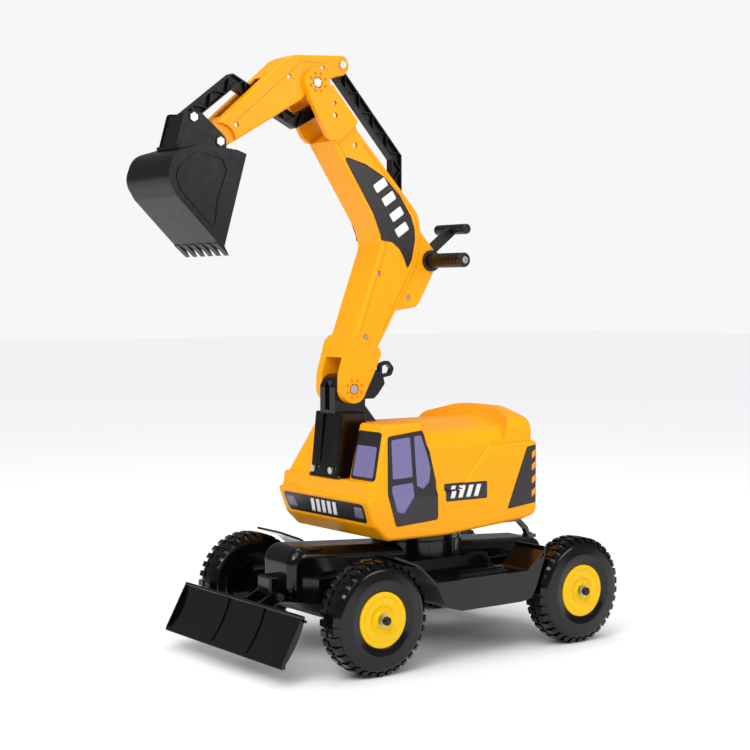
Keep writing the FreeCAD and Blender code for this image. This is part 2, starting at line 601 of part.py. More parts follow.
room = inset_plate(BOOM_LINE, SHELL, -BOOM_HALF + SHELL, BOOM_HALF - SHELL)
room = room.fuse(inset_plate(LOBE_LINE, SHELL, -LOBE_HALF + SHELL, LOBE_HALF - SHELL))
fork_wall = side_plate(UPPER_GAP, -60, 60)
fork_wall.translate(Vector(0, 4, -5))
room = room.cut(fork_wall).cut(rod(BOOM_PIVOT, 64, -60, 60))
supports = [rod(GRIP_AXIS, 13, -60, 60)] + [rod(at, 7, -60, 60) for at in BOOM_SCREWS]
room = room.cut(Part.makeCompound(supports))
link_room = side_plate(band([(-38, 960), (-38, 652)], 27), -12, 12)
lever_room = rod(GRIP_AXIS, 84, -12, 12).common(side_plate([(-70, 660), (18, 650), (18, 745), (-70, 745)], -12, 12))
lever_room = lever_room.fuse(rod(GRIP_AXIS, 16, -12, 12))
for angle in (10, 25, 40, 52):
    turn = math.radians(angle)
    tip = (GRIP_AXIS[0] + 60 * math.cos(turn), GRIP_AXIS[1] + 60 * math.sin(turn))
    lever_room = lever_room.fuse(side_plate(band([GRIP_AXIS, tip], 14), -12, 12))
boom = boom.cut(room).cut(Part.makeCompound([side_plate(UPPER_GAP, -UPPER_FORK, UPPER_FORK)]))
boom = boom.cut(rod(BOOM_PIVOT, 60, -LOWER_FORK, LOWER_FORK)).cut(link_room).cut(lever_room)
for at in (BOOM_PIVOT, DIPPER_PIVOT):
    boom = boom.cut(rod(at, PIN_R + RUN, -60, 60))
    seat = boss_pockets(at, LUG_HALF)
    boom = boom.cut(seat).cut(mirrored(seat))
boom = boom.cut(rod(GRIP_AXIS, 6.0 + 0.02, -60, 60)).cut(rod(LINK_BOOM_PIVOT, LOOSE_PIN_R + 0.02, -60, 60))
screws = []
for at in BOOM_SCREWS:
    face = LUG_HALF if at[1] > 934 or at[1] < 590 else BOOM_HALF
    recess = rod(at, 5.2, face - 6, face + 2)
    boom = boom.cut(recess).cut(mirrored(recess))
    head = rod(at, 4.0, face - 6, face - 3.5).cut(block(face - 4.3, face, at[0] - 3, at[0] + 3, at[1] - 0.5, at[1] + 0.5))
    shank = rod(at, 2.0, face - 17 if face == BOOM_HALF else UPPER_FORK + 0.5, face - 6)
    screws += both(head.fuse(shank)).Solids
parts["boom_screws"] = Part.makeCompound(screws)
boom = boom.cut(parts["boom_screws"])


def halves(shape, left, right):
    """Split a moulding at the middle plane and name its two halves."""
    for name, side in ((left, block(SEAM, 300, -700, 400, 0, 1300)), (right, block(-300, -SEAM, -700, 400, 0, 1300))):
        pieces = sorted(shape.common(side).Solids, key=lambda solid: solid.Volume)
        parts[name] = pieces[-1]


halves(boom, "boom_shell_left", "boom_shell_right")


def hex_bolt(at, radius, half, head_r, nut_across):
    """Bolt along X with a hexagonal head at +half and a nut at -half, both outside the faces."""
    shank = rod(at, radius, -half - 3, half)
    head = hexagon(at, nut_across, half, half + 3.5)
    nut = hexagon(at, nut_across, -half - 3.5, -half)
    return joined(shank, head, nut)


seat_half = LUG_HALF - 4.5
parts["boom_pivot_bolt"] = hex_bolt(BOOM_PIVOT, PIN_R, seat_half + 0.05, 8, 15)
parts["dipper_pivot_bolt"] = hex_bolt(DIPPER_PIVOT, PIN_R, seat_half + 0.05, 8, 15)
parts["bucket_link_pin"] = rod(LINK_BOOM_PIVOT, LOOSE_PIN_R, -BOOM_HALF, BOOM_HALF)

# ---------------------------------------------------------------- grips and lever
parts["grip_shaft"] = rod(GRIP_AXIS, 6.0, -132, 132)
grip = rod(GRIP_AXIS, 20, LOBE_HALF + GAP, LOBE_HALF + 6)
grip = soften(grip, 2.0, at_x(LOBE_HALF + 6))
sleeve = soften(rod(GRIP_AXIS, 13.6, LOBE_HALF + 5, 138), 3.0, at_x(138))
grip = grip.fuse(sleeve)
for k in range(8):
    ring = rod(GRIP_AXIS, 15, 54 + 10 * k, 56 + 10 * k).cut(rod(GRIP_AXIS, 12.8, 50, 140))
    grip = grip.cut(ring)
grip = grip.cut(rod(GRIP_AXIS, 6.02, 30, 132.1)).cut(rod(GRIP_AXIS, 7.4, 136, 140)).cut(rod(GRIP_AXIS, 2.52, 120, 140))
parts["grip_left"] = grip
parts["grip_right"] = mirrored(grip)
grip_screw = rod(GRIP_AXIS, 6.6, 136, 138.5).fuse(rod(GRIP_AXIS, 2.5, 122, 136))
grip_screw = grip_screw.cut(hexagon(GRIP_AXIS, 5, 137, 139))
parts["grip_screws"] = both(grip_screw)
hole = both(rod(GRIP_AXIS, 2.52, 121.5, 133))
parts["grip_shaft"] = parts["grip_shaft"].cut(hole)

arm_line = [LEVER_PIN, GRIP_AXIS, T_BAR]
lever = side_plate(band([GRIP_AXIS, T_BAR], 8.5), -7, 7)
lever = lever.fuse(side_plate(band([LEVER_PIN, GRIP_AXIS], 7.5), 10.2, 11.6)).fuse(side_plate(band([LEVER_PIN, GRIP_AXIS], 7.5), -11.6, -10.2))
lever = lever.fuse(rod(GRIP_AXIS, 12.5, -11.6, 11.6)).fuse(rod(LEVER_PIN, 8, 10.2, 11.6)).fuse(rod(LEVER_PIN, 8, -11.6, -10.2))
bar = rod(T_BAR, 10, -48, 48)
bar = soften(bar, 6.0, lambda p: abs(abs(p.x) - 48) < 1e-3)
lever = lever.fuse(bar).cut(rod(GRIP_AXIS, 6.0 + RUN, -20, 20)).cut(rod(LEVER_PIN, LOOSE_PIN_R + 0.02, -20, 20))
parts["control_lever"] = lever
parts["lever_pin"] = rod(LEVER_PIN, LOOSE_PIN_R, -11.6, 11.6)

# ---------------------------------------------------------------- long link
link_path = [TAIL_PIVOT, (-35.5, 914), (LEVER_PIN[0] - 0.5, LEVER_PIN[1])]
long_link = ribbed_bar(link_path, 11, LINK_HALF_T, 2.4, [TAIL_PIVOT], 24)
long_link = long_link.fuse(rod(LEVER_PIN, LOOSE_PIN_R + SLACK + 3.4, -LINK_HALF_T, LINK_HALF_T))
parts["dipper_link"] = long_link.cut(rod(LEVER_PIN, LOOSE_PIN_R + SLACK, -20, 20))

# ---------------------------------------------------------------- dipper
DIPPER_LINE = [(-452, 925, 16), (-430, 904, 10), (-420, 911, 6), (-320, 969, 40), (-291, 986.5, 40), (-262, 1003, 10), (-255, 1012),
               (-213, 1037, 8), (-202, 1043, 20), (-186, 1050, 20), (-170, 1053, 12), (-158, 1068, 14), (-167, 1089, 12),
               (-278, 1081.5, 30), (-296, 1073, 24), (-448, 941, 14)]
DIPPER_SCREWS = [(-399, 950), (-290, 1041.5), (-219, 1062)]
dipper = side_plate(DIPPER_LINE, -DIPPER_HALF, DIPPER_HALF)
dipper = soften(dipper, 5.0, lambda p: abs(abs(p.x) - DIPPER_HALF) < 1e-3 and (p.y < -270 or p.z > 1060))
dipper = dipper.fuse(rod(DIPPER_PIVOT, 24, -DIPPER_HALF, DIPPER_HALF))
hollow = inset_plate(DIPPER_LINE, SHELL, -DIPPER_HALF + SHELL, DIPPER_HALF - SHELL)
tip_cheek = rod(BUCKET_PIVOT, 32, DIPPER_TIP_HALF, 60)
tip_wall = rod(BUCKET_PIVOT, 35, DIPPER_TIP_HALF - SHELL, 60)
hollow = hollow.cut(tip_wall).cut(mirrored(tip_wall))
hollow = hollow.cut(rod(DIPPER_PIVOT, 12, -60, 60)).cut(rod(BUCKET_PIVOT, 11, -60, 60))
hollow = hollow.cut(Part.makeCompound([rod(at, 6.5, -60, 60) for at in DIPPER_SCREWS]))
tail_side = rod(TAIL_PIVOT, 20, LINK_HALF_T + GAP, 60)
hollow = hollow.cut(tail_side).cut(mirrored(tail_side))
dipper = dipper.cut(hollow).cut(tip_cheek).cut(mirrored(tip_cheek))
link_way = [(-470, 1072), (-480, 985), (-350, 930), (-228, 895), (-190, 990), (-262, 995), (-305, 1030)]
dipper = dipper.cut(side_plate(link_way, -12, 12).common(block(-20, 20, -422, -262, 900, 1080)))
tail_way = rod(TAIL_PIVOT, 22.5, -LINK_HALF_T - GAP, LINK_HALF_T + GAP).fuse(
    side_plate([TAIL_PIVOT, (-190, 985), (-90, 1000), (-90, 1060), (-165, 1100)], -LINK_HALF_T - GAP, LINK_HALF_T + GAP))
dipper = dipper.cut(tail_way)
for at in (DIPPER_PIVOT, TAIL_PIVOT, BUCKET_PIVOT):
    dipper = dipper.cut(rod(at, PIN_R + RUN, -60, 60))
screws = []
for at in DIPPER_SCREWS:
    recess = rod(at, 4.6, DIPPER_HALF - 5, DIPPER_HALF + 2)
    dipper = dipper.cut(recess).cut(mirrored(recess))
    head = rod(at, 3.6, DIPPER_HALF - 5, DIPPER_HALF - 2.8)
    screws += both(head.fuse(rod(at, 1.8, 14, DIPPER_HALF - 5))).Solids
parts["dipper_screws"] = Part.makeCompound(screws)
line_cut = side_plate(band([(-404, 953), (-266, 1069), (-208, 1072)], 0.8), DIPPER_HALF - 1, DIPPER_HALF + 1)
for name, cut in (("left", line_cut), ("right", mirrored(line_cut))):
    dipper = dipper.cut(cut)
halves(dipper.cut(parts["dipper_screws"]), "dipper_shell_left", "dipper_shell_right")
parts["tail_bolt"] = hex_bolt(TAIL_PIVOT, PIN_R, DIPPER_HALF + 0.05, 8, 13)

# ---------------------------------------------------------------- bucket and its link
link_path = [LINK_BUCKET_PIVOT, (-392, 1029, 6), (-262, 966, 6), LINK_BOOM_PIVOT]
short_link = ribbed_bar(link_path, 11, LINK_HALF_T, 2.4, [LINK_BUCKET_PIVOT], 22)
short_link = short_link.fuse(rod(LINK_BOOM_PIVOT, LOOSE_PIN_R + SLACK + 3.4, -LINK_HALF_T, LINK_HALF_T))
parts["bucket_link"] = short_link.cut(rod(LINK_BOOM_PIVOT, LOOSE_PIN_R + SLACK, -20, 20))

BUCKET_LINE = [(-405.5, 896), (-423, 902, 10), (-493, 909, 34), (-545, 893, 36), (-560, 850, 34), (-541, 820, 20), (-461, 742),
               (-451, 735)]
scoop = side_plate(BUCKET_LINE, -BUCKET_HALF, BUCKET_HALF)
inside = inset_plate(BUCKET_LINE, BUCKET_WALL, -BUCKET_HALF + BUCKET_WALL, BUCKET_HALF - BUCKET_WALL)
for shift in (0, 6):
    cut = inside.copy()
    cut.translate(Vector(0, 0.962 * shift, -0.272 * shift))
    scoop = scoop.cut(cut)
teeth = []
tooth = [(-462, 747), (-464, 743), (-441, 723), (-450, 739)]
pitch = (2 * BUCKET_HALF - 16) / (TEETH - 1)
for k in range(TEETH):
    x = -BUCKET_HALF + 8 + pitch * k
    teeth.append(side_plate(tooth, x - 7.5, x + 7.5))
rim_line = [(-452, 889, 8), (-442, 867, 8), (-461, 815, 20), (-467, 764, 6), (-533, 829, 16), (-547, 862, 26), (-500, 898, 26)]
rim = side_plate(rim_line, BUCKET_HALF - 1, BUCKET_HALF + 1.6).cut(inset_plate(rim_line, 3.2, BUCKET_HALF - 2, BUCKET_HALF + 2))
parts["bucket_shell"] = scoop.multiFuse(teeth + [rim, mirrored(rim)])
plate = [(-501, 966, 6), (-517, 909), (-517, 904), (-418, 898), (-420, 926, 8), (-428, 934, 8), (-470, 968, 8)]
inner = BRACKET_HALF - BRACKET_WALL
cheek = side_plate(plate, inner, BRACKET_HALF)
web = side_plate([(-500, 962), (-497.4, 962), (-513, 906), (-516, 906)], -inner - 1, inner + 1)
flange = side_plate([(-517, 903), (-517, 909.5), (-425, 907), (-425, 900)], -BRACKET_HALF - 8, BRACKET_HALF + 8)
flange = flange.cut(rod(BUCKET_PIVOT, 20.5, -inner + 0.05, inner - 0.05))
collar = rod(LINK_BUCKET_PIVOT, 8, LINK_HALF_T + GAP, inner + 1)
bracket = joined(cheek, mirrored(cheek), web, flange, collar, mirrored(collar))
bracket = bracket.cut(side_plate(BUCKET_LINE, -BUCKET_HALF, BUCKET_HALF))
for at in (BUCKET_PIVOT, LINK_BUCKET_PIVOT):
    bracket = bracket.cut(rod(at, PIN_R + RUN, -60, 60))
parts["bucket_bracket"] = bracket
parts["bucket_bolts"] = Part.makeCompound([hex_bolt(at, PIN_R, BRACKET_HALF + 0.05, 8, 14)
                                           for at in (BUCKET_PIVOT, LINK_BUCKET_PIVOT)])

os.makedirs("parts", exist_ok=True)
for name in sorted(parts):
    parts[name].exportStep(f"parts/{name}.step")
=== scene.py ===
"""Looks for a ride-on toy digger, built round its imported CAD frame.

The CAD nodes keep their shapes and get moulded-plastic and plated-steel finishes. The printed
stickers, the moulded studs and the turntable ribs are made here and laid on the CAD surfaces.
"""

from __future__ import annotations

import json
import logging
import math
from dataclasses import dataclass, field
from enum import Enum

import bmesh
import bpy
from mathutils import Matrix, Vector
from mathutils.bvhtree import BVHTree

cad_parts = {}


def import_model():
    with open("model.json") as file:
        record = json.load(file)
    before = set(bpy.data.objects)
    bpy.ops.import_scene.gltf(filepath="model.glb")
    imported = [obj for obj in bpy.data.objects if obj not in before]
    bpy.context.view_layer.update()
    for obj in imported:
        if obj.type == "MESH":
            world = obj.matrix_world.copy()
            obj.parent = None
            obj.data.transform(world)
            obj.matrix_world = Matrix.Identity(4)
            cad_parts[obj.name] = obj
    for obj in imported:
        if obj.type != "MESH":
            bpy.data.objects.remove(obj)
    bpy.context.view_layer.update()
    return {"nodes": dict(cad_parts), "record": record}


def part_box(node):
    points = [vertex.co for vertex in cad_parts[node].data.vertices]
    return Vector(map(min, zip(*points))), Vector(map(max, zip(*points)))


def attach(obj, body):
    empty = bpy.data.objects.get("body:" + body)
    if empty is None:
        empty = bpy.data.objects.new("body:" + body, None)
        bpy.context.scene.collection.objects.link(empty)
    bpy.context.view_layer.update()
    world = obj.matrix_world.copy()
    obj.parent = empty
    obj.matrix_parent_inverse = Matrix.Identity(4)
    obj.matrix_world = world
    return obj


LOG = logging.getLogger("digger")
MM = 0.001


# ---------------------------------------------------------------- colour and node helpers
def srgb(code: str) -> tuple[float, float, float, float]:
    """Turn an sRGB hex colour into a linear one.

    Args:
        code: six hex digits with a leading hash.

    Returns:
        Linear red, green, blue and an alpha of 1.
    """
    parts = [int(code[i : i + 2], 16) / 255 for i in (1, 3, 5)]
    linear = [p / 12.92 if p <= 0.04045 else ((p + 0.055) / 1.055) ** 2.4 for p in parts]
    return (linear[0], linear[1], linear[2], 1.0)


def add_node(
    tree: bpy.types.NodeTree,
    kind: str,
    settings: dict[str, object] | None = None,
    inputs: dict[object, object] | None = None,
) -> bpy.types.Node:
    """Add a node, set it up and link it.

    Args:
        tree: the tree that gets the node.
        kind: Blender's name for the node type.
        settings: node properties by name.
        inputs: a value or an output socket for each input, by its name or number.

    Returns:
        The new node.
    """
    node = tree.nodes.new(kind)
    for key, value in (settings or {}).items():
        setattr(node, key, value)
    for key, value in (inputs or {}).items():
        socket = node.inputs[key]
        if isinstance(value, bpy.types.NodeSocket):
            tree.links.new(value, socket)
        else:
            socket.default_value = value
    return node


class Axis(Enum):
    """Direction in which a printed sheet is pressed on to the part."""

    FROM_LEFT = (-1.0, 0.0, 0.0)
    FROM_RIGHT = (1.0, 0.0, 0.0)
    FROM_FRONT = (0.0, 1.0, 0.0)


class Grain(Enum):
    """Surface left by the way a piece was made."""

    ORANGE_PEEL = "blow moulded"
    FINE_TEXTURE = "spark-eroded mould"
    PLATED = "barrel plated"


@dataclass(frozen=True)
class Finish:
    """One surface finish: what it is made of and how its face was formed."""

    name: str
    colour: str
    worn: str
    roughness: float
    ior: float = 1.5
    metallic: float = 0.0
    grain: Grain = Grain.ORANGE_PEEL
    grain_mm: float = 6.0
    relief_mm: float = 0.05
    coat: float = 0.0
    specular: float = 0.5

    def build(self) -> bpy.types.Material:
        """Make the node material.

        Returns:
            The material, with colour, roughness and relief from its nodes.
        """
        material = bpy.data.materials.new(self.name)
        material.use_nodes = True
        tree = material.node_tree
        tree.nodes.clear()
        place = add_node(tree, "ShaderNodeTexCoord").outputs["Object"]
        # slow drift in shade over a hand's width, as in any large moulding
        drift = add_node(
            tree,
            "ShaderNodeTexNoise",
            inputs={"Vector": place, "Scale": 9.0, "Detail": 3.0, "Roughness": 0.55},
        )
        # handling scuffs about 15 mm across
        scuff = add_node(
            tree,
            "ShaderNodeTexNoise",
            inputs={"Vector": place, "Scale": 65.0, "Detail": 6.0, "Roughness": 0.7},
        )
        shade = add_node(
            tree,
            "ShaderNodeMapRange",
            inputs={
                "Value": drift.outputs["Fac"],
                "From Min": 0.35,
                "From Max": 0.75,
                "To Min": 0.0,
                "To Max": 0.5,
            },
        )
        colour = add_node(
            tree,
            "ShaderNodeMix",
            {"data_type": "RGBA"},
            {0: shade.outputs["Result"], 6: srgb(self.colour), 7: srgb(self.worn)},
        )
        rough = add_node(
            tree,
            "ShaderNodeMapRange",
            inputs={
                "Value": scuff.outputs["Fac"],
                "From Min": 0.3,
                "From Max": 0.75,
                "To Min": self.roughness * 0.85,
                "To Max": min(1.0, self.roughness * 1.3),
            },
        )
        relief = add_node(
            tree,
            "ShaderNodeTexNoise",
            inputs={"Vector": place, "Scale": 1.0 / (self.grain_mm * MM), "Detail": 2.0, "Roughness": 0.5},
        )
        height = relief.outputs["Fac"]
        if self.grain is Grain.PLATED:
            streak = add_node(
                tree, "ShaderNodeMapping", inputs={"Vector": place, "Scale": (1.0, 12.0, 12.0)}
            )
            lines = add_node(
                tree,
                "ShaderNodeTexNoise",
                inputs={"Vector": streak.outputs["Vector"], "Scale": 160.0, "Detail": 3.0},
            )
            height = lines.outputs["Fac"]
        bump = add_node(
            tree,
            "ShaderNodeBump",
            inputs={"Strength": 0.35, "Distance": self.relief_mm * MM, "Height": height},
        )
        shader = add_node(
            tree,
            "ShaderNodeBsdfPrincipled",
            inputs={
                "Base Color": colour.outputs[2],
                "Roughness": rough.outputs["Result"],
                "Metallic": self.metallic,
                "IOR": self.ior,
                "Specular IOR Level": self.specular,
                "Coat Weight": self.coat,
                "Coat Roughness": 0.08,
                "Normal": bump.outputs["Normal"],
            },
        )
        add_node(tree, "ShaderNodeOutputMaterial", inputs={"Surface": shader.outputs["BSDF"]})
        return material


# High-density polyethylene, blow moulded: a soft gloss with a slow orange-peel ripple.
BODY_YELLOW = Finish("polyethylene_blow_moulded_yellow", "#FFA900", "#FA9E00", 0.30, specular=0.22)
# Polypropylene, injection moulded: the same yellow, crisper, with a fine texture.
BOOM_YELLOW = Finish(
    "polypropylene_moulded_yellow", "#FFA900", "#FCA000", 0.33,
    specular=0.22, grain=Grain.FINE_TEXTURE, grain_mm=1.2, relief_mm=0.02,
)
# Wheel discs: a greener, paler yellow in the same polypropylene.
HUB_YELLOW = Finish(
    "polypropylene_moulded_hub_yellow", "#EEBE00", "#E2B000", 0.32,
    specular=0.22, grain=Grain.FINE_TEXTURE, grain_mm=1.2, relief_mm=0.02,
)
# Blow-moulded black polyethylene: almost a mirror at a low angle, rippled.
CHASSIS_BLACK = Finish(
    "polyethylene_blow_moulded_black", "#080708", "#0C0B0C", 0.13,
    relief_mm=0.12, grain_mm=9.0, specular=0.42,
)
TYRE_BLACK = Finish(
    "polyethylene_tread_black", "#070607", "#0B0A0B", 0.14,
    relief_mm=0.12, grain_mm=10.0, specular=0.4,
)
# Satin polypropylene bucket with a purple-brown cast.
BUCKET_BLACK = Finish(
    "polypropylene_satin_black", "#100C11", "#151117", 0.30,
    specular=0.24, grain=Grain.FINE_TEXTURE, grain_mm=1.5, relief_mm=0.03,
)
# Glass-filled nylon: dry, low sheen.
LINK_BLACK = Finish(
    "filled_nylon_black", "#0C0B0D", "#121113", 0.40,
    specular=0.35, grain=Grain.FINE_TEXTURE, grain_mm=0.9, relief_mm=0.03,
)
# Soft thermoplastic rubber for the hands.
GRIP_BLACK = Finish(
    "soft_elastomer_black", "#0D0C0E", "#141315", 0.36, grain=Grain.FINE_TEXTURE, grain_mm=0.8, relief_mm=0.04
)
# Bright zinc plate over steel: a warm grey with short tumbling marks.
ZINC_STEEL = Finish(
    "zinc_plated_steel", "#C9C8C4", "#A9A8A6", 0.30, metallic=1.0, grain=Grain.PLATED, relief_mm=0.02
)
# Black enamel, stoved on strip steel.
BAR_BLACK = Finish("black_enamel_steel", "#141416", "#1E1E20", 0.28, coat=0.5, relief_mm=0.03)

SLOT_FINISH: dict[str, Finish] = {
    "body_yellow": BODY_YELLOW,
    "boom_yellow": BOOM_YELLOW,
    "hub_yellow": HUB_YELLOW,
    "chassis_black": CHASSIS_BLACK,
    "tyre_black": TYRE_BLACK,
    "bucket_black": BUCKET_BLACK,
    "link_black": LINK_BLACK,
    "grip_black": GRIP_BLACK,
    "zinc_steel": ZINC_STEEL,
    "bar_steel": BAR_BLACK,
}

# Printed vinyl: thin, even, slightly glossier than what it is stuck to.
VINYL = {"roughness": 0.28, "grain_mm": 12.0, "relief_mm": 0.004}
PRINT_BLACK = Finish("printed_vinyl_charcoal", "#252022", "#282326", **VINYL)
PRINT_LILAC = Finish("printed_vinyl_window_lilac", "#756F9E", "#6F6A97", **VINYL)
PRINT_WHITE = Finish("printed_vinyl_white", "#F2EFF2", "#E4E1E4", **VINYL)
PRINT_GREY = Finish("printed_vinyl_lamp_grey", "#6E6A7E", "#8A87A0", **VINYL)
PRINT_ORANGE = Finish("printed_vinyl_orange", "#F59A12", "#EE8F08", **VINYL)


class Paints:
    """Every finish in use, each built once."""

    def __init__(self) -> None:
        """Start with none built."""
        self._made: dict[str, bpy.types.Material] = {}

    def get(self, finish: Finish) -> bpy.types.Material:
        """Give the material of a finish, building it the first time."""
        if finish.name not in self._made:
            self._made[finish.name] = finish.build()
        return self._made[finish.name]


# ---------------------------------------------------------------- printed stickers
Outline = list[tuple[float, float]]

# Small sideways steps in mm for the extra rays that keep a sticker from falling through an edge.
PROBES = ((0.0, 0.0), (0.06, 0.03), (-0.05, 0.06), (-0.06, -0.04), (0.04, -0.06))
RAY_START = 0.6  # metres out from the middle of the part, clear of every surface
SHEET_MM = 0.2  # thickness of the vinyl
PRINT_LIFT_MM = 0.6  # height of a second layer of print over the surface


def rounded(points: Outline, radius: float, steps: int = 5) -> Outline:
    """Round every corner of an outline.

    Args:
        points: corners in millimetres.
        radius: corner radius in millimetres.
        steps: points along each rounded corner.

    Returns:
        The rounded outline.
    """
    result: Outline = []
    count = len(points)
    for i, corner in enumerate(points):
        here = Vector(corner)
        back = Vector(points[i - 1]) - here
        ahead = Vector(points[(i + 1) % count]) - here
        half = back.angle(ahead) / 2
        reach = min(radius / math.tan(half), back.length * 0.45, ahead.length * 0.45)
        start = here + back.normalized() * reach
        end = here + ahead.normalized() * reach
        for k in range(steps + 1):
            t = k / steps
            point = start * (1 - t) ** 2 + here * 2 * t * (1 - t) + end * t**2
            result.append((point.x, point.y))
    return result


@dataclass(frozen=True)
class Sticker:
    """A printed sheet pressed on to a CAD surface.

    Outlines facing left or right are (y, z) in millimetres, and those facing front are (x, z).
    """

    name: str
    outlines: tuple[Outline, ...]
    finish: Finish
    lift_mm: float = 0.35
    grid_mm: float = 3.0
    flat: bool = False

    def build(
        self, surface: BVHTree, axis: Axis, paint: bpy.types.Material, suffix: str = ""
    ) -> bpy.types.Object:
        """Cut the outlines out of a fine grid and press them on.

        Args:
            surface: the CAD surface that the sheet lies on.
            axis: direction in which it is pressed on.
            paint: its material.
            suffix: added to the piece's name.

        Returns:
            The finished piece, at the origin.
        """
        way = Vector(axis.value)
        sheet = bmesh.new()
        for outline in self.outlines:
            flat = bmesh.new()
            corners = [flat.verts.new((a, b, 0.0)) for a, b in outline]
            flat.faces.new(corners)
            self._grid(flat)
            bmesh.ops.triangulate(flat, faces=flat.faces)
            self._press(flat, surface, way)
            loose = bpy.data.meshes.new("loose")
            flat.to_mesh(loose)
            flat.free()
            sheet.from_mesh(loose)
            bpy.data.meshes.remove(loose)
        for face in sheet.faces:
            face.smooth = True
        sheet.normal_update()
        for face in list(sheet.faces):
            if face.normal.dot(way) > 0:
                face.normal_flip()
        mesh = bpy.data.meshes.new(self.name + suffix)
        sheet.to_mesh(mesh)
        sheet.free()
        mesh.materials.append(paint)
        piece = bpy.data.objects.new(self.name + suffix, mesh)
        bpy.context.scene.collection.objects.link(piece)
        thick = piece.modifiers.new("thickness", "SOLIDIFY")
        thick.thickness = SHEET_MM * MM
        thick.offset = 0.0
        return piece

    def _grid(self, flat: bmesh.types.BMesh) -> None:
        """Cut a flat face along a square grid, so that it can follow a curved surface."""
        for index in (0, 1):
            values = [v.co[index] for v in flat.verts]
            steps = int((max(values) - min(values)) / self.grid_mm)
            normal = Vector((1, 0, 0)) if index == 0 else Vector((0, 1, 0))
            for k in range(1, steps + 1):
                point = normal * (min(values) + k * self.grid_mm)
                parts = flat.verts[:] + flat.edges[:] + flat.faces[:]
                bmesh.ops.bisect_plane(flat, geom=parts, plane_co=point, plane_no=normal)

    def _press(self, flat: bmesh.types.BMesh, surface: BVHTree, way: Vector) -> None:
        """Move each point of a flat sheet along a direction until it lies on the surface."""
        spots = []
        for vert in flat.verts:
            a, b = vert.co.x * MM, vert.co.y * MM
            origin = Vector((a, 0, b)) if way.y else Vector((0, a, b))
            depths = []
            for du, dv in PROBES:
                shift = Vector((du, 0, dv)) if way.y else Vector((0, du, dv))
                hit, _, _, _ = surface.ray_cast(origin + shift * MM - way * RAY_START, way)
                if hit is not None:
                    depths.append((hit - origin).dot(way))
            spots.append(origin + way * min(depths) if depths else origin)
        nearest = min(spot.dot(way) for spot in spots)
        for vert, spot in zip(flat.verts, spots):
            back = spot.dot(way) - nearest if self.flat else 0.0
            vert.co = spot - way * (back + self.lift_mm * MM)


def stripes(
    low: float, high: float, z0: float, z1: float, count: int, lean: float, fill: float = 0.62
) -> tuple[Outline, ...]:
    """Slanted bars side by side.

    Args:
        low: where the first bar starts.
        high: where the last bar ends.
        z0: lower edge.
        z1: upper edge.
        count: number of bars.
        lean: how far the top is moved sideways.
        fill: share of the pitch that a bar takes.

    Returns:
        One outline for each bar.
    """
    pitch = (high - low) / count
    bars = []
    for k in range(count):
        a = low + pitch * k
        b = a + pitch * fill
        bars.append([(a, z0), (b, z0), (b + lean, z1), (a + lean, z1)])
    return tuple(bars)


DOOR = [
    (-157, 328), (-154, 404), (-75, 412), (-60, 374), (-45, 318), (-44, 248), (-140, 242), (-158, 300)
]
DOOR_PANES = (
    rounded([(-146, 397), (-104, 401), (-101, 329), (-146, 327)], 4),
    rounded([(-95, 402), (-79, 403), (-66, 366), (-60, 342), (-64, 318), (-78, 306), (-92, 312)], 4),
    rounded([(-148, 316), (-101, 319), (-99, 294), (-122, 264), (-137, 268), (-148, 303)], 4),
)
REAR_PANEL = [(171, 369), (193, 372), (193, 262), (122, 254)]
REAR_CHEVRONS = tuple([(183, z), (192, z + 7), (192, z + 19), (183, z + 12)] for z in (272, 297, 322, 345))
BADGE = [(-26, 279), (72, 279), (72, 311), (-26, 311)]
BADGE_BARS = stripes(-16, 58, 284, 306, 4, 8, 0.55)
FIN = [
    (-180, 908), (-130, 895), (-86.5, 873), (-52, 841), (-26, 804), (-17, 780), (-16, 758), (-23.5, 723),
    (-34, 703), (-41, 723), (-52, 741), (-69, 754), (-95, 757), (-96, 767), (-113, 806),
]
NOSE = [(-126, 250), (126, 250), (130, 285), (-130, 285)]
CAB_FRONT = [(69, 325.5), (141, 325.5), (136, 412), (68, 412)]
CAB_FRONT_PANE = [(74, 331), (136, 331), (132, 386), (72, 386)]
NOSE_BARS = stripes(-46, 42, 255, 280, 5, 7)
NOSE_LAMPS = (
    rounded([(92, 257), (120, 257), (123, 278), (98, 278)], 4),
    rounded([(-92, 257), (-120, 257), (-123, 278), (-98, 278)], 4),
)


def fin_bars() -> tuple[Outline, ...]:
    """Four short bars that step down the boom's fin.

    Returns:
        One outline for each bar.
    """
    middles = ((-96, 858), (-77, 834), (-59, 806), (-47, 778))
    signs = ((-1, -1), (1, -1), (1, 1), (-1, 1))
    half_along = Vector((0.55, -0.835)) * 8.5
    half_across = Vector((0.835, 0.55)) * 15
    bars = []
    for middle in middles:
        places = [Vector(middle) + half_along * i + half_across * j for i, j in signs]
        bars.append(rounded([(place.x, place.y) for place in places], 2.5, 3))
    return tuple(bars)


